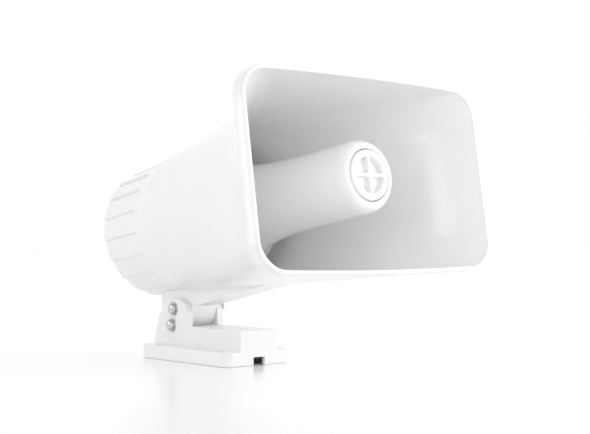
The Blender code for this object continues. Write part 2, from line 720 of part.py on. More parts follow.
def build_nose_plug(tilt, white):
    """Disc with four shallow pockets between crossed ribs."""
    front = REFLECTOR_TIP + PLUG_PROUD
    back = front - PLUG_THICKNESS
    plug = turned("nose_plug", [
        (back, PLUG_RADIUS), (front - 0.0008, PLUG_RADIUS), (front, PLUG_RADIUS - 0.0009),
    ], white, tilt, count=36, closed=False)
    axis = (0.0, AXIS_RISE)
    pocket = front - PLUG_POCKET_DEPTH
    cut(plug, rod_along(pocket, front + 0.001, PLUG_POCKET, axis, 32))
    reach = PLUG_POCKET + 0.0005
    half = PLUG_RIB / 2.0
    rib_front = front - 0.0004
    join(plug, box((-reach, -rib_front, AXIS_RISE - half), (reach, -pocket + 0.0005, AXIS_RISE + half)))
    join(plug, box((-half, -rib_front, AXIS_RISE - reach), (half, -pocket + 0.0005, AXIS_RISE + reach)))
    return plug


# ---------------------------------------------------------------- compression driver
def build_driver(tilt, diaphragm_slide, finishes):
    """Everything behind the bulkhead, each face set from the one in front of it."""
    gasket_front = BULKHEAD_BACK - GAP
    frame_front = gasket_front - DRIVER_GASKET - GAP
    frame_back = frame_front - FRAME_THICKNESS
    dish = frame_back + FRAME_DISH
    gasket = turned("driver_gasket", [
        (gasket_front, FRAME_RADIUS), (gasket_front - DRIVER_GASKET, FRAME_RADIUS),
        (gasket_front - DRIVER_GASKET, THROAT_RADIUS), (gasket_front, THROAT_RADIUS),
    ], finishes["rubber"], tilt, count=36)
    frame = turned("driver_frame", [
        (frame_front, THROAT_RADIUS), (frame_front, FRAME_RADIUS), (frame_back, FRAME_RADIUS),
        (frame_back, FRAME_DISH_RADIUS), (dish, FRAME_DISH_RADIUS), (dish, SURROUND_RADIUS),
        (frame_front - 0.0012, DOME_RADIUS), (frame_front - 0.0012, THROAT_RADIUS),
    ], finishes["black"], tilt, count=36)
    head_front = frame_back - GAP
    for number, place in enumerate(frame_screw_places(), 1):
        for target in (gasket, frame):
            cut(target, rod_along(frame_back - 0.001, gasket_front + 0.001,
                                  FRAME_SCREW_RADIUS + FIT, place, 14))
        turned("driver_screw_%d" % number, [
            (BULKHEAD_FRONT - GAP, FRAME_SCREW_RADIUS), (head_front, FRAME_SCREW_RADIUS),
            (head_front, FRAME_SCREW_HEAD), (head_front - 0.0012, FRAME_SCREW_HEAD),
            (head_front - 0.0019, 0.6 * FRAME_SCREW_HEAD),
        ], finishes["steel"], tilt, place, 12, closed=False)
    clamp_front = dish - GAP
    clamp_back = clamp_front - CLAMP_THICKNESS
    turned("diaphragm_clamp", [
        (clamp_front, CLAMP_INNER), (clamp_front, FRAME_DISH_RADIUS - GAP),
        (clamp_back, FRAME_DISH_RADIUS - GAP), (clamp_back, CLAMP_INNER),
    ], finishes["black"], tilt, count=36)
    plate_front = min(clamp_back, frame_back) - GAP
    plate_back = plate_front - TOP_PLATE
    magnet_back = plate_back - GAP - MAGNET_HEIGHT
    yoke_front = magnet_back - GAP
    build_diaphragm(diaphragm_slide, plate_front, finishes)
    coil_outer = DOME_RADIUS + COIL_WALL / 2.0
    turned("top_plate", [
        (plate_front, coil_outer + COIL_CLEARANCE), (plate_front, TOP_PLATE_RADIUS),
        (plate_back, TOP_PLATE_RADIUS), (plate_back, coil_outer + COIL_CLEARANCE),
    ], finishes["zinc"], tilt, count=32)
    turned("magnet", [
        (plate_back - GAP, MAGNET_BORE), (plate_back - GAP, MAGNET_RADIUS),
        (magnet_back, MAGNET_RADIUS), (magnet_back, MAGNET_BORE),
    ], finishes["ferrite"], tilt, count=32)
    pole = DOME_RADIUS - COIL_WALL / 2.0 - COIL_CLEARANCE
    turned("yoke", [
        (plate_front, pole - 0.0005), (plate_front - 0.0005, pole), (yoke_front, pole),
        (yoke_front, TOP_PLATE_RADIUS), (yoke_front - YOKE_PLATE, TOP_PLATE_RADIUS),
    ], finishes["zinc"], tilt, count=32, closed=False)
    build_terminals(tilt, frame_back, finishes)


def build_diaphragm(parent, plate_front, finishes):
    """Dome, surround and voice coil, which move together in the magnet's gap."""
    rim = plate_front + 3.0 * DIAPHRAGM_TRAVEL
    wall = DIAPHRAGM_WALL
    outer = [(rim, SURROUND_RADIUS), (rim + 0.0012, 0.5 * (SURROUND_RADIUS + DOME_RADIUS))]
    steps = 4
    for i in range(steps):
        a = math.pi / 2.0 * i / steps
        outer.append((rim + DOME_RISE * math.sin(a), DOME_RADIUS * math.cos(a)))
    skin = [(along + wall, radius) for along, radius in outer]
    rings = [circle(radius, along, (0.0, AXIS_RISE), 32) for along, radius in reversed(outer)]
    rings += [circle(radius, along, (0.0, AXIS_RISE), 32) for along, radius in skin]
    finish("diaphragm", loft(rings), finishes["film"], parent)
    front = rim - GAP
    middle = DOME_RADIUS
    turned("voice_coil", [
        (front, middle - COIL_WALL / 2.0), (front, middle + COIL_WALL / 2.0),
        (front - COIL_HEIGHT, middle + COIL_WALL / 2.0),
        (front - COIL_HEIGHT, middle - COIL_WALL / 2.0),
    ], finishes["copper"], parent, count=32)


def build_terminals(tilt, frame_back, finishes):
    """Terminal block below the magnet, two solder tags and the leads between them."""
    near = frame_back - GAP
    top = AXIS_RISE - MAGNET_RADIUS - TERMINAL_CLEARANCE
    low = top - TERMINAL_HEIGHT
    half = TERMINAL_WIDTH / 2.0
    far = near - TERMINAL_DEPTH
    finish("terminal_block", box((-half, -near, low), (half, -far, top)), finishes["black"], tilt)
    for number, side in enumerate((-1.0, 1.0), 1):
        place = (side * half / 2.0, (low + top) / 2.0)
        screw_front = far - GAP
        turned("terminal_screw_%d" % number, [
            (screw_front, TERMINAL_SCREW_RADIUS), (screw_front - 0.0010, TERMINAL_SCREW_RADIUS),
            (screw_front - 0.0014, 0.7 * TERMINAL_SCREW_RADIUS),
        ], finishes["brass"], tilt, place, 12, closed=False)
        tag_x = side * FRAME_SCREW_CIRCLE * math.cos(math.radians(3.0))
        tag = TAG_SIZE / 2.0
        tag_z = AXIS_RISE - TAG_SIZE
        finish("solder_tag_%d" % number, box(
            (tag_x - tag / 4.0, -near, tag_z - tag), (tag_x + tag / 4.0, -near + TAG_SIZE, tag_z + tag),
        ), finishes["brass"], tilt)
        level = -near + 0.8 * TAG_SIZE
        turn = math.asin((TAG_SIZE + tag + GAP + LEAD_RADIUS) / LEAD_ORBIT)
        path = []
        steps = 9
        for i in range(steps + 1):
            a = turn + (LEAD_TURN - turn) * i / steps
            path.append(Vector((
                side * LEAD_ORBIT * math.cos(a), level, AXIS_RISE - LEAD_ORBIT * math.sin(a))))
        path.append(Vector((side * (half + 2.0 * GAP), level, path[-1].z - LEAD_RADIUS)))
        finish("voice_lead_%d" % number, tube(path, LEAD_RADIUS), finishes["lead"], tilt)


def tube(path, radius, count=8):
    """A round tube that follows a line of points lying in a plane of constant Y."""
    rings = []
    for i, point in enumerate(path):
        before = path[max(i - 1, 0)]
        after = path[min(i + 1, len(path) - 1)]
        along = (after - before).normalized()
        across = Vector((along.z, 0.0, -along.x))
        rings.append([
            point + across * (radius * math.cos(2.0 * math.pi * k / count))
            + Vector((0.0, radius * math.sin(2.0 * math.pi * k / count), 0.0))
            for k in range(count)
        ])
    return loft(rings)


# ---------------------------------------------------------------- assembly
def tilt_empty():
    """The tilt axis: an empty on the pivot, pitched so that the mouth looks up at rest."""
    made = bpy.data.objects.new("tilt_axis", None)
    made.location = (0.0, PIVOT_Y, PIVOT_Z)
    made.rotation_euler = (-REST_PITCH, 0.0, 0.0)
    bpy.context.scene.collection.objects.link(made)
    return made


def main():
    clear_scene()
    white = material("white_abs", (0.86, 0.86, 0.86), 0.22)
    steel = material("stainless_steel", (0.62, 0.62, 0.63), 0.28, 1.0)
    finishes = {
        "rubber": material("black_rubber", (0.02, 0.02, 0.02), 0.8),
        "black": material("black_nylon", (0.03, 0.03, 0.03), 0.5),
        "steel": steel,
        "zinc": material("zinc_plated_steel", (0.55, 0.55, 0.52), 0.35, 1.0),
        "ferrite": material("ferrite", (0.06, 0.06, 0.065), 0.6),
        "film": material("phenolic_film", (0.42, 0.24, 0.10), 0.5),
        "copper": material("copper_winding", (0.72, 0.36, 0.20), 0.35, 1.0),
        "brass": material("brass", (0.72, 0.56, 0.28), 0.35, 1.0),
        "lead": material("lead_insulation", (0.05, 0.05, 0.05), 0.5),
    }
    tilt = tilt_empty()
    build_base(white)
    build_through_screw("pivot", (PIVOT_Y, PIVOT_Z), PIVOT_SCREW_END, steel)
    build_through_screw("lock", lock_place(), LOCK_SCREW_END, steel)
    build_bell(tilt, white)
    build_foot(tilt, white)
    build_foot_screws(tilt, steel)
    build_rear_cover(tilt, white, finishes["rubber"], steel)
    build_throat_tube(tilt, white)
    build_reflector(tilt, white, steel)
    build_nose_plug(tilt, white)
    build_driver(tilt, tilt, finishes)


main()
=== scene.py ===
"""Looks for a white outdoor horn loudspeaker: fine shells, finishes, floor, light and camera.

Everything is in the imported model's frame: metres, +Z up, the mouth facing -Y.  The horn's own
pieces are shaped about its axis, with x to the side, y upwards and z forwards to the mouth, and
HORN_AXIS sets them over the pivot with the pitch they have at rest.
"""

import json
import math

import bmesh
import bpy
from mathutils import Matrix, Vector


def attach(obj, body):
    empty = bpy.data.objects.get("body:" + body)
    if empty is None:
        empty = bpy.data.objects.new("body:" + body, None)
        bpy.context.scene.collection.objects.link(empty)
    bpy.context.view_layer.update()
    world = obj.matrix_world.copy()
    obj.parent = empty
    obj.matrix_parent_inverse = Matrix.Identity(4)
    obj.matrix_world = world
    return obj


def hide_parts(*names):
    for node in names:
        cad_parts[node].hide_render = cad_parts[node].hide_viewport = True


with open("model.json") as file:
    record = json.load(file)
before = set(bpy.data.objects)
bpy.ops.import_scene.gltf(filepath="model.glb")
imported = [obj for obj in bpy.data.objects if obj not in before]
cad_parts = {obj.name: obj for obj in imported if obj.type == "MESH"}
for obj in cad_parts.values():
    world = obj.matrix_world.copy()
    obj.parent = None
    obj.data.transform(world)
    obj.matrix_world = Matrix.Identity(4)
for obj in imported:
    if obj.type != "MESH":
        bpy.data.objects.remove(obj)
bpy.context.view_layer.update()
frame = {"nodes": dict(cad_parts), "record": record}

# ---------------------------------------------------------------- sizes
MM = 0.001
JOINTS = {joint["name"]: joint for joint in frame["record"]["behaviour"]["joints"]}
PIVOT = Vector(JOINTS["tilt"]["pos_m"])
FORWARD = Vector(JOINTS["diaphragm_travel"]["axis"]).normalized()
PITCH = math.atan2(FORWARD.z, -FORWARD.y)
AXIS_RISE = 61.1 * MM
HORN_PLACE = Matrix.Translation(PIVOT) @ Matrix.Rotation(-PITCH, 4, "X")
HORN_AXIS = (
    HORN_PLACE @ Matrix.Translation((0.0, 0.0, AXIS_RISE)) @ Matrix.Rotation(math.pi / 2.0, 4, "X"))

# shell
MOUTH_HALF_WIDTH = 101.6 * MM
MOUTH_HALF_HEIGHT = 62.75 * MM
MOUTH_CORNER = 20.0 * MM
MOUTH_CROWN = 1.9 * MM
MOUTH_REACH = 202.5 * MM
FLARE_END = 193.3 * MM
SHOULDER_START = 8.5 * MM
SHOULDER_END = 22.0 * MM
SHOULDER_RADIUS = 52.0 * MM
BODY_RADIUS = 48.0 * MM
BODY_DRAFT = 1.6 * MM
REAR_REACH = -34.8 * MM
WALL = 2.6 * MM
LIP_ROUND = 0.8 * MM
BEAD_LINE = 1.7 * MM          # a fine line round the flange, this far behind its front
WIDTH_FLARE = 3.0
HEIGHT_FLARE = 0.3
CORNER_FLARE = 2.0
FLUTES = 19
FLUTE_PHASE = -2.1            # degrees from +x to the first flute's step
FLUTE_DEPTH = 1.6 * MM
FLUTE_FADE_START = 6.5 * MM
FLUTE_FADE_LENGTH = 4.5 * MM
SHOULDER_LIFT = 0.15          # share of the shoulder's growth that is straight
CHAMBER_RADIUS = 43.8 * MM
SEAT_RADIUS = 44.8 * MM
SEAT_DEPTH = 5.0 * MM
BULKHEAD_FRONT = 15.0 * MM
BULKHEAD_BACK = 11.0 * MM
THROAT = 10.5 * MM

# reflector
REFLECTOR_LIP = 60.0 * MM
REFLECTOR_RADIUS = 23.3 * MM
REFLECTOR_FLARE = 17.0 * MM
REFLECTOR_DECAY = 24.0 * MM
REFLECTOR_WALL = 2.4 * MM
NOSE_FRONT = 196.2 * MM
PLUG_RADIUS = 16.3 * MM
PLUG_POCKET = 11.9 * MM
PLUG_RIB = 1.0 * MM
PLUG_HUB = 2.3 * MM
PLUG_DEPTH = 3.6 * MM
PLUG_ROUND = 1.2 * MM
REFLECTOR_BORE = 4.0 * MM

# base and foot
PLATE = (29.0 * MM, 51.0 * MM, 9.8 * MM)
PLATE_CORNER = 7.5 * MM
BASE_WALL = 2.8 * MM
BLOCK_HALF = 16.2 * MM
BLOCK_TOP = 23.8 * MM
EAR = 5.0 * MM
EAR_FRONT = 9.8 * MM
EAR_NOSE = 12.0 * MM
EAR_TOP = 43.0 * MM
EAR_BACK = (25.0 * MM, 25.5 * MM)
WELL_FLOOR = 15.0 * MM
RECESS = 0.8 * MM
DRUM_RADIUS = 16.0 * MM
FOOT_HALF = BLOCK_HALF - EAR - 0.3 * MM
LOCK = (PIVOT.y + 2.2 * MM, PIVOT.z - 11.9 * MM)
FOOT_REACH = 100.0 * MM
FOOT_REAR = (20.7 * MM, 2.0 * MM)
SLOPE_START = 21.5 * MM
SLOPE_ANGLE = math.radians(3.4)
FOOT_ROUNDING = 0.7 * MM
DRUM_CLEARANCE = 1.2 * MM
PLATE_EDGE = 1.0 * MM
PLATE_FOOT = 0.35 * MM
BASE_ROUNDING = 0.8 * MM
CENTRE_BOSS_RADIUS = 6.0 * MM
MOUNT_BOSS_RADIUS = 4.6 * MM
MOUNT_HOLE_RADIUS = 2.3 * MM
MOUNT_HOLE_BACK = 36.0 * MM
HALF_RIB = 1.2 * MM
CORD_NOTCH = (5.0 * MM, 5.6 * MM)
CORD_HOLE = 2.4 * MM
RECESS_LEAD = 2.9 * MM
WASHER_SEAT = 5.4 * MM
OVERCUT = 9.0 * MM             # how far a cutter stands past the ears and the plate

# screws
SCREW_RADIUS = 2.4 * MM
SHANK_FIT = 0.3 * MM
HEAD_RADIUS = 4.0 * MM
HEAD_HEIGHT = 2.6 * MM
WASHER_RADIUS = 4.9 * MM
NUT_FLATS = 7.8 * MM
NUT_HEIGHT = 3.6 * MM
PIVOT_SCREW_END = 30.0 * MM
LOCK_SCREW_END = 23.0 * MM
THREAD_PITCH = 0.8 * MM
THREAD_DEPTH = 0.42 * MM
COVER_SCREW_ORBIT = 40.5 * MM

# light and camera
HORIZON_LIGHT = 1.08
ZENITH_LIGHT = 0.82
CAMERA_PLACE = (-0.52126, -0.67196, 0.08575)
CAMERA_AIM = (0.66575, 0.74592, 0.01955)
LENS = 71.9


# ---------------------------------------------------------------- shape helpers
def piece(name, work, finish, place=Matrix(), crease=32.0):
    """A bmesh made into a named object, its faces turned outwards and shaded smooth."""
    bmesh.ops.remove_doubles(work, verts=work.verts, dist=0.002 * MM)
    bmesh.ops.recalc_face_normals(work, faces=work.faces)
    mesh = bpy.data.meshes.new(name)
    work.to_mesh(mesh)
    work.free()
    mesh.shade_smooth()
    mesh.set_sharp_from_angle(angle=math.radians(crease))
    mesh.materials.append(finish)
    made = bpy.data.objects.new(name, mesh)
    made.matrix_world = place
    bpy.context.scene.collection.objects.link(made)
    return made


def skin(rings, closed=False):
    """Quads between rings of points; the end rings are capped, or joined to each other."""
    work = bmesh.new()
    rows = [[work.verts.new(point) for point in ring] for ring in rings]
    pairs = list(zip(rows, rows[1:]))
    if closed:
        pairs.append((rows[-1], rows[0]))
    count = len(rows[0])
    for first, second in pairs:
        for i in range(count):
            j = (i + 1) % count
            work.faces.new((first[i], first[j], second[j], second[i]))
    if not closed:
        work.faces.new(rows[0])
        work.faces.new(list(reversed(rows[-1])))
    return work


def circle(radius, height, count=96, centre=(0.0, 0.0)):
    turn = 2.0 * math.pi / count
    return [
        Vector((centre[0] + radius * math.cos(i * turn), centre[1] + radius * math.sin(i * turn), height))
        for i in range(count)
    ]


def turned(outline, count=96, closed=False):
    """A body turned about the local z axis; the outline holds (height, radius)."""
    return skin([circle(radius, height, count) for height, radius in outline], closed)


def arc(centre, radius, start, stop, steps, stretch=1.0):
    """Points of an arc in a plane, in degrees; stretch makes it part of an ellipse."""
    points = []
    for i in range(steps + 1):
        a = math.radians(start + (stop - start) * i / steps)
        points.append((centre[0] + radius * math.cos(a), centre[1] + radius * stretch * math.sin(a)))
    return points


def prism_x(outline, low, high):
    return skin([[Vector((x, y, z)) for y, z in outline] for x in (low, high)])


def prism_z(outline, low, high):
    return skin([[Vector((x, y, z)) for x, y in outline] for z in (low, high)])


def block(low, high):
    outline = [(low[0], low[1]), (high[0], low[1]), (high[0], high[1]), (low[0], high[1])]
    return prism_z(outline, low[2], high[2])


def rounded_rectangle(half_x, half_y, corner, steps=10):
    outline = []
    for sign_x, sign_y, start in ((1, 1, 0), (-1, 1, 90), (-1, -1, 180), (1, -1, 270)):
        centre = (sign_x * (half_x - corner), sign_y * (half_y - corner))
        outline += arc(centre, corner, start, start + 90, steps)
    return outline


def change(target, work, operation="DIFFERENCE"):
    """Cut a bmesh out of a piece, or join it on."""
    tool = piece("tool", work, target.data.materials[0], target.matrix_world)
    step = target.modifiers.new("step", "BOOLEAN")
    step.operation = operation
    step.solver = "EXACT"
    step.object = tool
    bpy.context.view_layer.update()
    evaluated = target.evaluated_get(bpy.context.evaluated_depsgraph_get())
    result = bpy.data.meshes.new_from_object(evaluated)
    target.modifiers.remove(step)
    target.data = result
    bpy.data.objects.remove(tool, do_unlink=True)


def soften(target, width, segments=3, angle=38.0):
    """Round every sharp edge, as a mould does."""
    target.data.shade_smooth()
    rounding = target.modifiers.new("rounding", "BEVEL")
    rounding.width = width
    rounding.segments = segments
    rounding.limit_method = "ANGLE"
    rounding.angle_limit = math.radians(angle)
    rounding.harden_normals = True
    rounding.miter_outer = "MITER_ARC"


def rod_x(low, high, radius, centre, count=48):
    outline = arc(centre, radius, 0.0, 360.0 * (count - 1) / count, count - 1)
    return prism_x(outline, low, high)


def rod_z(low, high, radius, centre, count=48):
    outline = arc(centre, radius, 0.0, 360.0 * (count - 1) / count, count - 1)
    return prism_z(outline, low, high)


def blend_step(t):
    t = min(max(t, 0.0), 1.0)
    return t * t * (3.0 - 2.0 * t)


def settle(made, body, slot, *nodes):
    """Hand a piece to the body it rides on and hide the nodes it stands for; slot, its finish, is not used.
    """
    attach(made, body)
    if nodes:
        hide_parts(*nodes)
    return made


# ---------------------------------------------------------------- finishes
def colour(code):
    """An sRGB hex code as linear red, green, blue and alpha."""
    values = []
    for i in (0, 2, 4):
        level = int(code[i:i + 2], 16) / 255.0
        values.append(level / 12.92 if level <= 0.04045 else ((level + 0.055) / 1.055) ** 2.4)
    return (*values, 1.0)


def add(tree, kind, sockets=None, **settings):
    """A node with its settings; a socket takes a value, or another node's socket as its link."""
    node = tree.nodes.new(kind)
    for key, value in settings.items():
        setattr(node, key, value)
    for key, value in (sockets or {}).items():
        if isinstance(value, bpy.types.NodeSocket):
            tree.links.new(value, node.inputs[key])
        else:
            node.inputs[key].default_value = value
    return node


def start_finish(name, base, roughness, metallic=0.0, ior=None):
    """A material with its shader's plain values, its tree and its coordinates in metres."""
    made = bpy.data.materials.new(name)
    made.use_nodes = True
    tree = made.node_tree
    shader = tree.nodes["Principled BSDF"]
    shader.inputs["Base Color"].default_value = colour(base)
    shader.inputs["Roughness"].default_value = roughness
    shader.inputs["Metallic"].default_value = metallic
    if ior:
        shader.inputs["IOR"].default_value = ior
    place = add(tree, "ShaderNodeTexCoord").outputs["Object"]
    return made, tree, shader, place


def mottled(tree, shader, place, grain_mm, low, high, smooth, rough):
    """Colour and roughness that drift a little over patches of one size."""
    noise = add(tree, "ShaderNodeTexNoise", {
        "Vector": place, "Scale": 1.0 / (grain_mm * MM), "Detail": 4.0})
    tint = add(tree, "ShaderNodeMix", {
        "Factor": noise.outputs["Fac"], 6: colour(low), 7: colour(high)}, data_type="RGBA")
    tree.links.new(tint.outputs[2], shader.inputs["Base Color"])
    gloss = add(tree, "ShaderNodeMapRange", {
        "Value": noise.outputs["Fac"], "To Min": smooth, "To Max": rough})
    tree.links.new(gloss.outputs["Result"], shader.inputs["Roughness"])


def dimpled(tree, shader, place, grain_mm, depth_mm, detail=2.0):
    """A fine relief of one grain size and depth."""
    noise = add(tree, "ShaderNodeTexNoise", {
        "Vector": place, "Scale": 1.0 / (grain_mm * MM), "Detail": detail})
    relief = add(tree, "ShaderNodeBump", {
        "Height": noise.outputs["Fac"], "Distance": depth_mm * MM, "Strength": 1.0})
    tree.links.new(relief.outputs["Normal"], shader.inputs["Normal"])


def gloss_abs():
    """Glossy white ABS from a polished mould: clean highlights with a trace of orange peel."""
    made, tree, shader, place = start_finish("gloss_white_abs", "f0f0f1", 0.2, ior=1.54)
    mottled(tree, shader, place, 22.0, "eeeeef", "f2f2f2", 0.15, 0.21)
    dimpled(tree, shader, place, 3.2, 0.012)
    return made


def satin_abs():
    """The same ABS from a finely blasted mould face: broad soft highlights on the base."""
    made, tree, shader, place = start_finish("satin_white_abs", "f0f0f0", 0.32, ior=1.54)
    mottled(tree, shader, place, 15.0, "eeeeee", "f3f3f3", 0.27, 0.35)
    dimpled(tree, shader, place, 0.7, 0.010)
    return made


def stainless():
    """Stainless steel screws, barrel polished: bright, with faint drawn marks."""
    made, tree, shader, place = start_finish("polished_stainless", "c6c8ca", 0.16, metallic=1.0)
    mottled(tree, shader, place, 1.4, "b4b6b9", "d6d8da", 0.1, 0.24)
    dimpled(tree, shader, place, 0.4, 0.004)
    return made


def zinc():
    """Zinc plate over turned steel: greyer, with cloudy spangle."""
    made, tree, shader, place = start_finish("zinc_plate", "a9aba6", 0.35, metallic=1.0)
    mottled(tree, shader, place, 2.5, "96988f", "bcbeb8", 0.27, 0.42)
    return made


def ferrite():
    """Sintered ferrite: dark, dry and granular."""
    made, tree, shader, place = start_finish("sintered_ferrite", "37383b", 0.62)
    mottled(tree, shader, place, 1.2, "2d2e31", "434448", 0.52, 0.72)
    dimpled(tree, shader, place, 0.5, 0.03)
    return made


def rubber():
    """Black nitrile rubber seal, moulded: matt with a dusty bloom."""
    made, tree, shader, place = start_finish("nitrile_rubber", "1c1c1d", 0.75)
    mottled(tree, shader, place, 3.0, "171718", "262627", 0.66, 0.82)
    dimpled(tree, shader, place, 0.5, 0.02)
    return made


def nylon():
    """Black glass-filled nylon, moulded: satin with a slightly fibrous grain."""
    made, tree, shader, place = start_finish("glass_filled_nylon", "262627", 0.48, ior=1.53)
    mottled(tree, shader, place, 1.0, "202021", "303032", 0.4, 0.56)
    dimpled(tree, shader, place, 0.6, 0.02)
    return made


def phenolic():
    """Pressed phenolic film: brown, thin and faintly woven."""
    made, tree, shader, place = start_finish("phenolic_film", "a4743f", 0.45)
    mottled(tree, shader, place, 0.9, "94642f", "b2824c", 0.36, 0.52)
    dimpled(tree, shader, place, 0.35, 0.02)
    return made


def copper():
    """Enamelled copper wire, wound: fine turns that glint as bands."""
    made, tree, shader, place = start_finish("copper_winding", "c87f56", 0.3, metallic=1.0)
    turns = add(tree, "ShaderNodeTexWave", {
        "Vector": place, "Scale": 1.0 / (0.6 * MM * 2.0 * math.pi), "Distortion": 0.4},
        bands_direction="Y")
    relief = add(tree, "ShaderNodeBump", {"Height": turns.outputs["Fac"], "Distance": 0.05 * MM})
    tree.links.new(relief.outputs["Normal"], shader.inputs["Normal"])
    return made


def brass():
    """Stamped brass terminals: warm metal with light tarnish."""
    made, tree, shader, place = start_finish("stamped_brass", "c9ab6a", 0.3, metallic=1.0)
    mottled(tree, shader, place, 1.6, "b8985a", "d8bc7c", 0.22, 0.4)
    return made


def lead_sleeve():
    """Soft PVC wire insulation, extruded: dark with a mild sheen."""
    made, tree, shader, place = start_finish("pvc_insulation", "2b2b2d", 0.42)
    mottled(tree, shader, place, 1.5, "252527", "343437", 0.36, 0.5)
    return made


def floor_finish():
    """White acrylic sheet: pale, with a soft short reflection of what stands on it."""
    return start_finish("white_acrylic_floor", "ffffff", 0.2, ior=1.3)[0]


FINISHES = {
    "white_abs": gloss_abs(),
    "stainless_steel": stainless(),
    "zinc_plated_steel": zinc(),
    "ferrite": ferrite(),
    "black_rubber": rubber(),
    "black_nylon": nylon(),
    "phenolic_film": phenolic(),
    "copper_winding": copper(),
    "brass": brass(),
    "lead_insulation": lead_sleeve(),
}
BASE_ABS = satin_abs()


# ---------------------------------------------------------------- shell sections
def flute_marks():
    """Shares of the outline where its points lie: close together beside each flute's step."""
    inside = (0.0, 0.025, 0.07, 0.14, 0.23, 0.33, 0.43, 0.53, 0.63, 0.72, 0.80, 0.87, 0.92, 0.955, 0.98, 0.99)
    marks = []
    for flute in range(FLUTES):
        for t in inside:
            marks.append(((flute + t) / FLUTES + FLUTE_PHASE / 360.0) % 1.0)
    return marks, inside


MARKS, FLUTE_STEPS = flute_marks()


def quarter_point(run, flat_x, flat_y, corner):
    """The point at a distance along one quarter of the outline, from the side to the top."""
    if run < flat_y:
        return flat_x + corner, run
    run -= flat_y
    if run < corner * math.pi / 2.0:
        a = run / corner
        return flat_x + corner * math.cos(a), flat_y + corner * math.sin(a)
    return flat_x - (run - corner * math.pi / 2.0), flat_y + corner


def section(half_x, half_y, corner, crown, along):
    """One ring of the shell: a rectangle with round corners, bowed by its crown."""
    flat_x = half_x - corner
    flat_y = half_y - corner
    total = flat_x + flat_y + corner * math.pi / 2.0
    ring = []
    for mark in MARKS:
        side = int(mark * 4.0) % 4
        share = mark * 4.0 - side
        run = total * (1.0 - share if side % 2 else share)
        x, y = quarter_point(run, flat_x, flat_y, corner)
        y *= 1.0 - crown / half_y * (x / half_x) ** 2
        ring.append(Vector((x if side in (0, 3) else -x, y if side in (0, 1) else -y, along)))
    return ring


def round_ring(radius, along):
    return section(radius, radius, radius, 0.0, along)


def flare_share(u, rate):
    """0 at the shoulder and 1 at the flange, growing ever faster between them."""
    return math.expm1(rate * u) / math.expm1(rate)


def flare_ring(along, inset=0.0, end=FLARE_END):
    """A section of the flare, which grows to the mouth's size at its end."""
    u = min(max((along - SHOULDER_END) / (end - SHOULDER_END), 0.0), 1.0)
    half_x = SHOULDER_RADIUS + (MOUTH_HALF_WIDTH - SHOULDER_RADIUS) * flare_share(u, WIDTH_FLARE)
    half_y = SHOULDER_RADIUS + (MOUTH_HALF_HEIGHT - SHOULDER_RADIUS) * flare_share(u, HEIGHT_FLARE)
    corner = SHOULDER_RADIUS + (MOUTH_CORNER - SHOULDER_RADIUS) * u ** CORNER_FLARE
    return section(half_x - inset, half_y - inset, corner - inset, MOUTH_CROWN * u, along)


def mouth_ring(along, inset=0.0):
    return section(
        MOUTH_HALF_WIDTH - inset, MOUTH_HALF_HEIGHT - inset, MOUTH_CORNER - inset, MOUTH_CROWN, along)


def fluted_ring(along, inset=0.0):
    """A round ring of bowed panels; each starts at a step in and swells outwards."""
    share = (along - REAR_REACH) / (SHOULDER_START - REAR_REACH)
    radius = BODY_RADIUS + BODY_DRAFT * share - inset
    fade = 1.0 - blend_step((along - FLUTE_FADE_START) / FLUTE_FADE_LENGTH)
    ring = []
    for i, point in enumerate(round_ring(radius, along)):
        t = FLUTE_STEPS[i % len(FLUTE_STEPS)]
        dip = (1.0 - t) ** 1.25
        rolled = max(t - 0.90, 0.0) / 0.10
        dip = dip + 0.16 * rolled ** 2
        reach = 1.0 - fade * FLUTE_DEPTH * dip / radius
        ring.append(Vector((point.x * reach, point.y * reach, along)))
    return ring


def spaced(start, stop, count, power=1.0):
    return [start + (stop - start) * (i / count) ** power for i in range(count + 1)]


def outer_rings():
    """The shell's outside, from the rear rim to the flange's back edge."""
    rings = [fluted_ring(REAR_REACH, 0.7 * MM), fluted_ring(REAR_REACH + 0.25 * MM, 0.2 * MM)]
    rings += [fluted_ring(along) for along in spaced(REAR_REACH + 0.8 * MM, 4.5 * MM, 10)]
    rings += [fluted_ring(along) for along in spaced(5.2 * MM, SHOULDER_START, 10)]
    base = BODY_RADIUS + BODY_DRAFT
    span = SHOULDER_END - SHOULDER_START
    for along in spaced(SHOULDER_START + 1.0 * MM, SHOULDER_END - 0.6 * MM, 10):
        t = (along - SHOULDER_START) / span
        growth = SHOULDER_LIFT * t + (1.0 - SHOULDER_LIFT) * t * t
        rings.append(round_ring(base + (SHOULDER_RADIUS - base) * growth, along))
    rings += [flare_ring(along) for along in spaced(SHOULDER_END, FLARE_END - 0.5 * MM, 44)]
    return rings


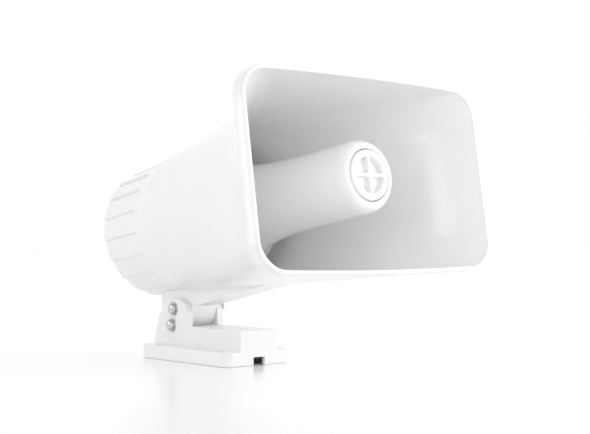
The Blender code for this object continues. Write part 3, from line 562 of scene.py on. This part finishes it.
def build_shell():
    """Flare, flange and fluted body, with the bulkhead that closes the throat."""
    rings = outer_rings()
    rings.append(mouth_ring(FLARE_END + 0.3 * MM, 0.05 * MM))
    rings += [mouth_ring(along) for along in (
        FLARE_END + 1.2 * MM, MOUTH_REACH - BEAD_LINE - 0.35 * MM)]
    rings.append(mouth_ring(MOUTH_REACH - BEAD_LINE - 0.12 * MM, 0.32 * MM))
    rings.append(mouth_ring(MOUTH_REACH - BEAD_LINE + 0.12 * MM, 0.32 * MM))
    rings.append(mouth_ring(MOUTH_REACH - BEAD_LINE + 0.3 * MM))
    for radius_step in arc((MOUTH_REACH - LIP_ROUND, LIP_ROUND), LIP_ROUND, -90.0, 0.0, 5):
        rings.append(mouth_ring(radius_step[0], radius_step[1]))
    for radius_step in arc((MOUTH_REACH - LIP_ROUND, WALL - LIP_ROUND), LIP_ROUND, 0.0, 90.0, 5):
        rings.append(mouth_ring(radius_step[0], radius_step[1]))
    lip = MOUTH_REACH - LIP_ROUND
    rings += [
        flare_ring(along, WALL, lip) for along in spaced(lip - 1.0 * MM, SHOULDER_END + 1.0 * MM, 44)]
    inner = SHOULDER_RADIUS - WALL
    rings += [round_ring(inner - 0.6 * MM, SHOULDER_END - 1.0 * MM)]
    rings += [round_ring(inner - 4.0 * MM, BULKHEAD_FRONT + 1.2 * MM)]
    rings += [round_ring(inner - 5.2 * MM, BULKHEAD_FRONT)]
    rings += [round_ring(THROAT + 0.4 * MM, BULKHEAD_FRONT), round_ring(THROAT, BULKHEAD_FRONT - 0.4 * MM)]
    rings += [round_ring(THROAT, BULKHEAD_BACK), round_ring(CHAMBER_RADIUS, BULKHEAD_BACK)]
    seat = REAR_REACH + SEAT_DEPTH
    rings += [round_ring(CHAMBER_RADIUS, seat), round_ring(SEAT_RADIUS, seat)]
    rings += [round_ring(SEAT_RADIUS, REAR_REACH + 0.4 * MM), round_ring(SEAT_RADIUS + 0.4 * MM, REAR_REACH)]
    made = piece("horn_shell", skin(rings, closed=True), FINISHES["white_abs"], HORN_AXIS)
    return settle(made, "horn", "white_abs", "bell")


# ---------------------------------------------------------------- reflector
def reflector_radius(along):
    return REFLECTOR_RADIUS + REFLECTOR_FLARE * math.exp(-(along - REFLECTOR_LIP) / REFLECTOR_DECAY)


def build_reflector():
    """Long trumpet with its wide lip at the back and a rolled nose in front."""
    wall = REFLECTOR_WALL
    outline = [(REFLECTOR_LIP + 3.0 * MM, reflector_radius(REFLECTOR_LIP) - wall)]
    lip = reflector_radius(REFLECTOR_LIP)
    outline += [(along, radius) for along, radius in arc(
        (REFLECTOR_LIP + wall / 2.0, lip - wall / 2.0), wall / 2.0, 200.0, 100.0, 6)]
    shoulder = 8.6 * MM
    start = NOSE_FRONT - shoulder
    outline += [
        (along, reflector_radius(along)) for along in spaced(REFLECTOR_LIP + 2.5 * MM, start, 36, 1.3)]
    edge = reflector_radius(start)
    crest = PLUG_RADIUS + 1.5 * MM
    for i in range(1, 15):
        a = math.pi / 2.0 * i / 14.0
        outline.append((
            start + shoulder * math.sin(a) ** 0.95, crest + (edge - crest) * math.cos(a) ** 0.9))
    groove = PLUG_RADIUS + 0.6 * MM
    outline += [(NOSE_FRONT - 0.1 * MM, groove + 0.4 * MM), (NOSE_FRONT - 0.6 * MM, groove)]
    outline += [(NOSE_FRONT - 5.0 * MM, groove), (NOSE_FRONT - 6.0 * MM, REFLECTOR_BORE)]
    outline += [
        (NOSE_FRONT - 14.0 * MM, REFLECTOR_BORE), (NOSE_FRONT - 16.0 * MM, REFLECTOR_RADIUS - 4.0 * MM)]
    outline += [
        (along, reflector_radius(along) - wall)
        for along in spaced(NOSE_FRONT - 26.0 * MM, REFLECTOR_LIP + 8.0 * MM, 20)]
    made = piece("reflector_trumpet", turned(outline, 128), FINISHES["white_abs"], HORN_AXIS)
    return settle(made, "horn", "white_abs", "reflector")


def plug_height(x, y):
    """Front of the nose plug: a flat rim and hub, and four pockets between crossed ribs."""
    reach = math.hypot(x, y)
    edge = PLUG_RADIUS - reach
    rim = NOSE_FRONT + 0.7 * MM
    if edge < PLUG_ROUND:
        rim -= PLUG_ROUND - math.sqrt(max(PLUG_ROUND ** 2 - (PLUG_ROUND - edge) ** 2, 0.0))
    depth = min(PLUG_POCKET - reach, abs(x) - PLUG_RIB, abs(y) - PLUG_RIB, reach - PLUG_HUB)
    wall = blend_step(depth / (0.9 * MM) + 0.1)
    lean = 0.75 + 0.25 * reach / PLUG_POCKET
    return rim - PLUG_DEPTH * wall * lean


def build_nose_plug():
    rings = []
    count = 224
    rings.append(circle(PLUG_RADIUS, NOSE_FRONT - 4.6 * MM, count))
    steps = 84
    for k in range(steps + 1):
        radius = PLUG_RADIUS * (1.0 - k / (steps + 0.5)) if k else PLUG_RADIUS
        ring = circle(radius, 0.0, count)
        for point in ring:
            point.z = plug_height(point.x, point.y)
        rings.append(ring)
    made = piece("nose_plug_disc", skin(rings), FINISHES["white_abs"], HORN_AXIS, crease=50.0)
    return settle(made, "horn", "white_abs", "nose_plug")


# ---------------------------------------------------------------- foot
def build_foot():
    """Pylon under the horn whose round lower end turns between the base's ears."""
    slope = (FOOT_REACH - SLOPE_START) * math.tan(SLOPE_ANGLE)
    inside = AXIS_RISE - 0.6 * BODY_RADIUS
    outline = [(-FOOT_REACH, inside), (-FOOT_REACH, slope), (-SLOPE_START, 0.0)]
    outline += arc((0.0, 0.0), DRUM_RADIUS, 178.0, 352.0, 60)
    outline += [FOOT_REAR, (FOOT_REAR[0], inside)]
    made = piece("foot_pylon", prism_x(outline, -FOOT_HALF, FOOT_HALF), FINISHES["white_abs"], HORN_PLACE)
    core = [fluted_ring(along, FLUTE_DEPTH + 1.2 * MM) for along in (REAR_REACH, 4.0 * MM)]
    core += [round_ring(BODY_RADIUS - 1.0 * MM, SHOULDER_START)]
    core += [flare_ring(along, 1.0 * MM) for along in spaced(SHOULDER_END, FLARE_END, 24)]
    level = [[Vector((point.x, -point.z, AXIS_RISE + point.y)) for point in ring] for ring in core]
    change(made, skin(level))
    change(made, rod_x(-FOOT_HALF - MM, FOOT_HALF + MM, SCREW_RADIUS + SHANK_FIT, (0.0, 0.0)))
    change(made, lock_slot())
    soften(made, FOOT_ROUNDING)
    return settle(made, "horn", "white_abs", "tilt_foot")


def lock_slot():
    """Curved slot round the pivot in which the lock screw runs as the horn tilts."""
    drop = PIVOT.z - LOCK[1]
    back = LOCK[0] - PIVOT.y
    orbit = math.hypot(drop, back)
    reach = SCREW_RADIUS + SHANK_FIT
    rest = math.degrees(math.atan2(-drop, back) + PITCH)
    slack = math.degrees(1.4 * reach / orbit)
    low, high = JOINTS["tilt"]["range_deg"]
    outline = arc((0.0, 0.0), orbit + reach, rest + low - slack, rest + high + slack, 30)
    outline += arc((0.0, 0.0), orbit - reach, rest + high + slack, rest + low - slack, 30)
    return prism_x(outline, -FOOT_HALF - MM, FOOT_HALF + MM)


# ---------------------------------------------------------------- base
def ear_outline():
    front = -PLATE[1]
    low = PLATE[2] / 2.0
    outline = [(front, low), (front, BLOCK_TOP), (EAR_FRONT, BLOCK_TOP)]
    outline += arc((EAR_FRONT + EAR_NOSE, EAR_TOP - EAR_NOSE), EAR_NOSE, 180.0, 90.0, 18)
    stretch = (EAR_TOP - PLATE[2]) / EAR_BACK[1]
    outline += arc((EAR_BACK[0], PLATE[2]), EAR_BACK[1], 88.0, 0.0, 30, stretch)
    outline.append((EAR_BACK[0] + EAR_BACK[1], low))
    return outline


def mount_places():
    x = (PLATE[0] + BLOCK_HALF) / 2.0
    return [(sx * x, sy * MOUNT_HOLE_BACK) for sx in (-1, 1) for sy in (-1, 1)]


def build_base():
    """Plate, block and ears in one moulding, hollow from below, with the seats of its screws."""
    half_x, half_y, top = PLATE
    rings = []
    for z, inset in ((0.0, PLATE_FOOT), (PLATE_FOOT, 0.0)):
        rings.append([Vector((x, y, z)) for x, y in rounded_rectangle(
            half_x - inset, half_y - inset, PLATE_CORNER - inset)])
    for z, inset in arc((top - PLATE_EDGE, PLATE_EDGE), PLATE_EDGE, -90.0, 0.0, 5):
        rings.append([Vector((x, y, z)) for x, y in rounded_rectangle(
            half_x - inset, half_y - inset, PLATE_CORNER - inset)])
    made = piece("base_moulding", skin(rings), BASE_ABS)
    change(made, prism_x(ear_outline(), -BLOCK_HALF, BLOCK_HALF), "UNION")
    well = BLOCK_HALF - EAR
    well_front = PIVOT.y - DRUM_RADIUS - DRUM_CLEARANCE
    change(made, block((-well, well_front, WELL_FLOOR), (well, half_y + OVERCUT, EAR_TOP + OVERCUT)))
    change(made, block((-well, well_front - 2.0 * MM, BLOCK_TOP), (well, half_y, EAR_TOP + OVERCUT)))
    hollow = rounded_rectangle(half_x - BASE_WALL, half_y - BASE_WALL, PLATE_CORNER - BASE_WALL)
    change(made, prism_z(hollow, -MM, top - BASE_WALL))
    change(made, block(
        (-BLOCK_HALF + BASE_WALL, -half_y + BASE_WALL, MM),
        (BLOCK_HALF - BASE_WALL, well_front - BASE_WALL, BLOCK_TOP - BASE_WALL)))
    rib_top = top - BASE_WALL / 2.0
    change(made, block((-half_x + MM, -HALF_RIB, 0.0), (half_x - MM, HALF_RIB, rib_top)), "UNION")
    change(made, rod_z(0.0, BLOCK_TOP - BASE_WALL / 2.0, CENTRE_BOSS_RADIUS, (0.0, 0.0)), "UNION")
    for place in mount_places():
        change(made, rod_z(0.0, rib_top, MOUNT_BOSS_RADIUS, place), "UNION")
        change(made, rod_z(-MM, top + MM, MOUNT_HOLE_RADIUS, place))
    notch, notch_top = CORD_NOTCH
    change(made, block((-notch, -half_y - MM, -MM), (notch, -half_y + BASE_WALL + MM, notch_top)))
    for side in (-1.0, 1.0):
        low, high = sorted((side * (BLOCK_HALF - RECESS), side * (BLOCK_HALF + MM)))
        change(made, block((low, PIVOT.y - RECESS_LEAD, top), (high, half_y + OVERCUT, EAR_TOP + OVERCUT)))
        change(made, rod_x(low, high, WASHER_SEAT, (PIVOT.y, PIVOT.z)))
    for centre in ((PIVOT.y, PIVOT.z), LOCK):
        change(made, rod_x(-BLOCK_HALF - MM, BLOCK_HALF + MM, SCREW_RADIUS + SHANK_FIT, centre))
    cable_z = (WELL_FLOOR + BLOCK_TOP) / 2.0 - MM
    change(made, block(
        (-CORD_HOLE, well_front - BASE_WALL - MM, cable_z - CORD_HOLE),
        (CORD_HOLE, well_front + MM, cable_z + CORD_HOLE)))
    soften(made, BASE_ROUNDING)
    return settle(made, "base", "white_abs", "base_housing")


# ---------------------------------------------------------------- screws
def dome_head(radius, height, under):
    """Outline of a domed head from its underside to its crown, as (height, radius)."""
    outline = [(under, radius - 0.15 * MM), (under + 0.15 * MM, radius)]
    side = 0.3 * height
    outline.append((under + side, radius))
    for i in range(1, 12):
        a = math.pi / 2.0 * i / 12.0
        outline.append((under + side + (height - side) * math.sin(a), radius * math.cos(a) ** 0.8))
    outline.append((under + height, 0.35 * MM))
    return outline


def cross_recess(head, radius, top):
    """A cross-shaped driver recess with tapered flanks."""
    for turn in (0.0, math.pi / 2.0):
        rings = []
        for height, scale in ((top - 0.42 * radius, 0.35), (top + 0.3 * MM, 1.0)):
            half_long = 0.56 * radius * scale
            half_thin = 0.13 * radius * (0.6 + 0.4 * scale)
            signs = ((1, 1), (-1, 1), (-1, -1), (1, -1))
            facing = Matrix.Rotation(turn, 4, "Z")
            rings.append([facing @ Vector((x * half_long, y * half_thin, height)) for x, y in signs])
        change(head, skin(rings))


def screw(name, place, head_radius, head_height, under, radius, end, thread_from, body, node):
    """A cross-recess screw: domed head above, shank below, its thread cut as a real helix."""
    head = turned(dome_head(head_radius, head_height, under), 64)
    made = piece(name, head, FINISHES["stainless_steel"], place)
    cross_recess(made, head_radius, under + head_height)
    rings = []
    count = 32
    steps = max(int((under - end) / (0.1 * MM)), 2)
    for k in range(steps + 1):
        height = under + 0.3 * MM + (end - under - 0.3 * MM) * k / steps
        ring = []
        for i in range(count):
            a = 2.0 * math.pi * i / count
            phase = (height / THREAD_PITCH + i / count) % 1.0
            cut = THREAD_DEPTH * abs(2.0 * phase - 1.0) if height < thread_from else 0.0
            point = min(radius - cut, radius - 0.9 * MM + (height - end))
            ring.append(Vector((point * math.cos(a), point * math.sin(a), height)))
        rings.append(ring)
    shank = piece(name + "_shank", skin(rings), FINISHES["stainless_steel"], place, crease=60.0)
    settle(shank, body, "stainless_steel")
    return settle(made, body, "stainless_steel", node)


def washer(name, place, outer, inner, low, high, body, node):
    round_edge = 0.2 * MM
    outline = [(low, inner), (low, outer - round_edge), (low + round_edge, outer)]
    outline += [(high - round_edge, outer), (high, outer - round_edge), (high, inner)]
    made = piece(name, turned(outline, 64, closed=True), FINISHES["stainless_steel"], place)
    return settle(made, body, "stainless_steel", node)


def nut(name, place, flats, low, height, hole, body, node):
    """Hexagon nut with its corners chamfered on both faces."""
    corner = flats / 2.0 / math.cos(math.radians(30.0))
    rings = []
    count = 72
    for level, limit in ((low, flats / 2.0), (low + 0.5 * MM, corner), (low + height - 0.5 * MM, corner),
                         (low + height, flats / 2.0)):
        ring = []
        for i in range(count):
            a = 2.0 * math.pi * i / count
            face = flats / 2.0 / math.cos((a + math.pi / 6.0) % (math.pi / 3.0) - math.pi / 6.0)
            reach = min(face, limit)
            ring.append(Vector((reach * math.cos(a), reach * math.sin(a), level)))
        rings.append(ring)
    rings += [circle(hole, low + height, count), circle(hole, low, count)]
    made = piece(name, skin(rings, closed=True), FINISHES["stainless_steel"], place)
    return settle(made, body, "stainless_steel", node)


def build_joint_screws():
    """The pivot and lock screws, each with two washers and a nut; heads on the -X side."""
    face = BLOCK_HALF - RECESS
    gap = 0.1 * MM
    for label, centre, end in (
            ("pivot", (PIVOT.y, PIVOT.z), PIVOT_SCREW_END), ("lock", LOCK, LOCK_SCREW_END)):
        middle = Matrix.Translation((0.0, centre[0], centre[1]))
        place = middle @ Matrix.Rotation(-math.pi / 2.0, 4, "Y")
        far = middle @ Matrix.Rotation(math.pi / 2.0, 4, "Y")
        low = face + gap
        high = face + 1.3 * MM
        inner = SCREW_RADIUS + 0.2 * MM
        washer(label + "_head_washer", place, WASHER_RADIUS, inner, low, high, "base", label + "_washer_head")
        washer(label + "_nut_washer", far, WASHER_RADIUS, inner, low, high, "base", label + "_washer_nut")
        screw(label + "_bolt", place, HEAD_RADIUS, HEAD_HEIGHT, high, SCREW_RADIUS, -end, -face, "base",
              label + "_screw")
        nut(label + "_hexagon_nut", far, NUT_FLATS, high + gap, NUT_HEIGHT, inner, "base", label + "_nut")


# ---------------------------------------------------------------- rear cover
def build_rear_cover():
    """Disc in the rear rim: flat screw land, a raised middle and two fine turned rings."""
    front = REAR_REACH + SEAT_DEPTH - 1.6 * MM
    back = front - 2.8 * MM
    outer = SEAT_RADIUS - 0.3 * MM
    outline = [(front, outer), (back + 0.5 * MM, outer), (back + 0.15 * MM, outer - 0.15 * MM)]
    outline += [(back, outer - 0.5 * MM), (back, 35.4 * MM), (back - 0.3 * MM, 34.8 * MM)]
    outline += [(back - 1.9 * MM, 33.2 * MM), (back - 2.2 * MM, 32.4 * MM)]
    for ring in (27.0 * MM, 18.0 * MM):
        level = back - 2.2 * MM
        outline += [(level, ring + 0.6 * MM), (level + 0.5 * MM, ring + 0.3 * MM)]
        outline += [(level + 0.5 * MM, ring - 0.3 * MM), (level, ring - 0.6 * MM)]
    outline += [(back - 2.3 * MM, 9.0 * MM), (back - 2.35 * MM, 0.5 * MM)]
    made = piece("rear_cover_disc", turned(outline, 128), FINISHES["white_abs"], HORN_AXIS)
    settle(made, "horn", "white_abs", "rear_cover")
    for number, angle in enumerate((45.0, 135.0, 225.0, 315.0), 1):
        a = math.radians(angle)
        place = HORN_AXIS @ Matrix.Translation((
            COVER_SCREW_ORBIT * math.cos(a), COVER_SCREW_ORBIT * math.sin(a), back))
        place = place @ Matrix.Rotation(math.pi, 4, "X")
        screw("cover_bolt_%d" % number, place, 2.7 * MM, 1.8 * MM, 0.0, 1.4 * MM, -9.0 * MM, -2.0 * MM,
              "horn", "rear_cover_screw_%d" % number)


def build_reflector_screw():
    """The screw behind the nose plug, met only when the plug is taken out."""
    seat = NOSE_FRONT - 6.9 * MM
    place = HORN_AXIS @ Matrix.Translation((0.0, 0.0, seat))
    screw("reflector_bolt", place, 3.0 * MM, 1.6 * MM, 0.0, 1.5 * MM, -36.0 * MM, -28.0 * MM,
          "horn", "reflector_screw")


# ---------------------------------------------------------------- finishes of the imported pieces
def finish_packed():
    """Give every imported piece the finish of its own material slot."""
    slots = {row["node"]: row["material_slot"] for row in frame["record"]["subparts"]}
    for name, node in frame["nodes"].items():
        finish = FINISHES[slots[name]]
        if not node.material_slots:
            node.data.materials.append(finish)
        for place in node.material_slots:
            place.material = finish


# ---------------------------------------------------------------- floor, light and camera
def build_floor():
    work = bmesh.new()
    bmesh.ops.create_grid(work, x_segments=2, y_segments=2, size=6.0)
    floor = piece("floor", work, floor_finish(), Matrix.Translation((0.0, 0.0, -0.15 * MM)))


def softbox(name, place, aim, width, height, power):
    light = bpy.data.lights.new(name, "AREA")
    light.shape = "RECTANGLE"
    light.size = width
    light.size_y = height
    light.energy = power
    made = bpy.data.objects.new(name, light)
    made.location = place
    made.rotation_euler = (Vector(aim) - Vector(place)).to_track_quat("-Z", "Y").to_euler()
    bpy.context.scene.collection.objects.link(made)


def build_light():
    """A white cyclorama, dimmer overhead, with soft boxes for the flange, the flare and the mouth."""
    world = bpy.data.worlds.new("studio")
    bpy.context.scene.world = world
    world.use_nodes = True
    tree = world.node_tree
    background = tree.nodes["Background"]
    background.inputs["Color"].default_value = (1.0, 1.0, 1.0, 1.0)
    direction = add(tree, "ShaderNodeTexCoord").outputs["Generated"]
    height = add(tree, "ShaderNodeSeparateXYZ", {"Vector": direction})
    level = add(tree, "ShaderNodeMapRange", {
        "Value": height.outputs["Z"], "From Min": 0.25, "From Max": 0.9, "To Min": HORIZON_LIGHT,
        "To Max": ZENITH_LIGHT})
    seen = add(tree, "ShaderNodeLightPath").outputs["Is Camera Ray"]
    strength = add(tree, "ShaderNodeMapRange", {
        "Value": seen, "To Min": level.outputs["Result"], "To Max": 1.0})
    tree.links.new(strength.outputs["Result"], background.inputs["Strength"])
    softbox("flange_strip", (-1.10, 0.95, 0.20), (-0.10, -0.16, 0.12), 0.16, 0.55, 1.2)
    softbox("flare_box", (-1.50, -0.74, 0.25), (0.08, -0.14, 0.12), 0.30, 0.60, 1.2)
    softbox("front_box", (0.95, -1.35, 0.35), (0.0, -0.10, 0.12), 1.1, 1.0, 9.0)
    bpy.context.scene.cycles.max_bounces = 16
    bpy.context.scene.cycles.diffuse_bounces = 10


def build_camera():
    camera = bpy.data.cameras.new("view")
    camera.lens = LENS
    camera.sensor_width = 36.0
    camera.clip_start = 0.01
    made = bpy.data.objects.new("view", camera)
    made.location = CAMERA_PLACE
    made.rotation_euler = Vector(CAMERA_AIM).to_track_quat("-Z", "Y").to_euler()
    bpy.context.scene.collection.objects.link(made)
    bpy.context.scene.camera = made


finish_packed()
build_shell()
build_reflector()
build_nose_plug()
build_foot()
build_base()
build_joint_screws()
build_rear_cover()
build_reflector_screw()
build_floor()
build_light()
build_camera()
bpy.context.scene.view_settings.view_transform = "Standard"
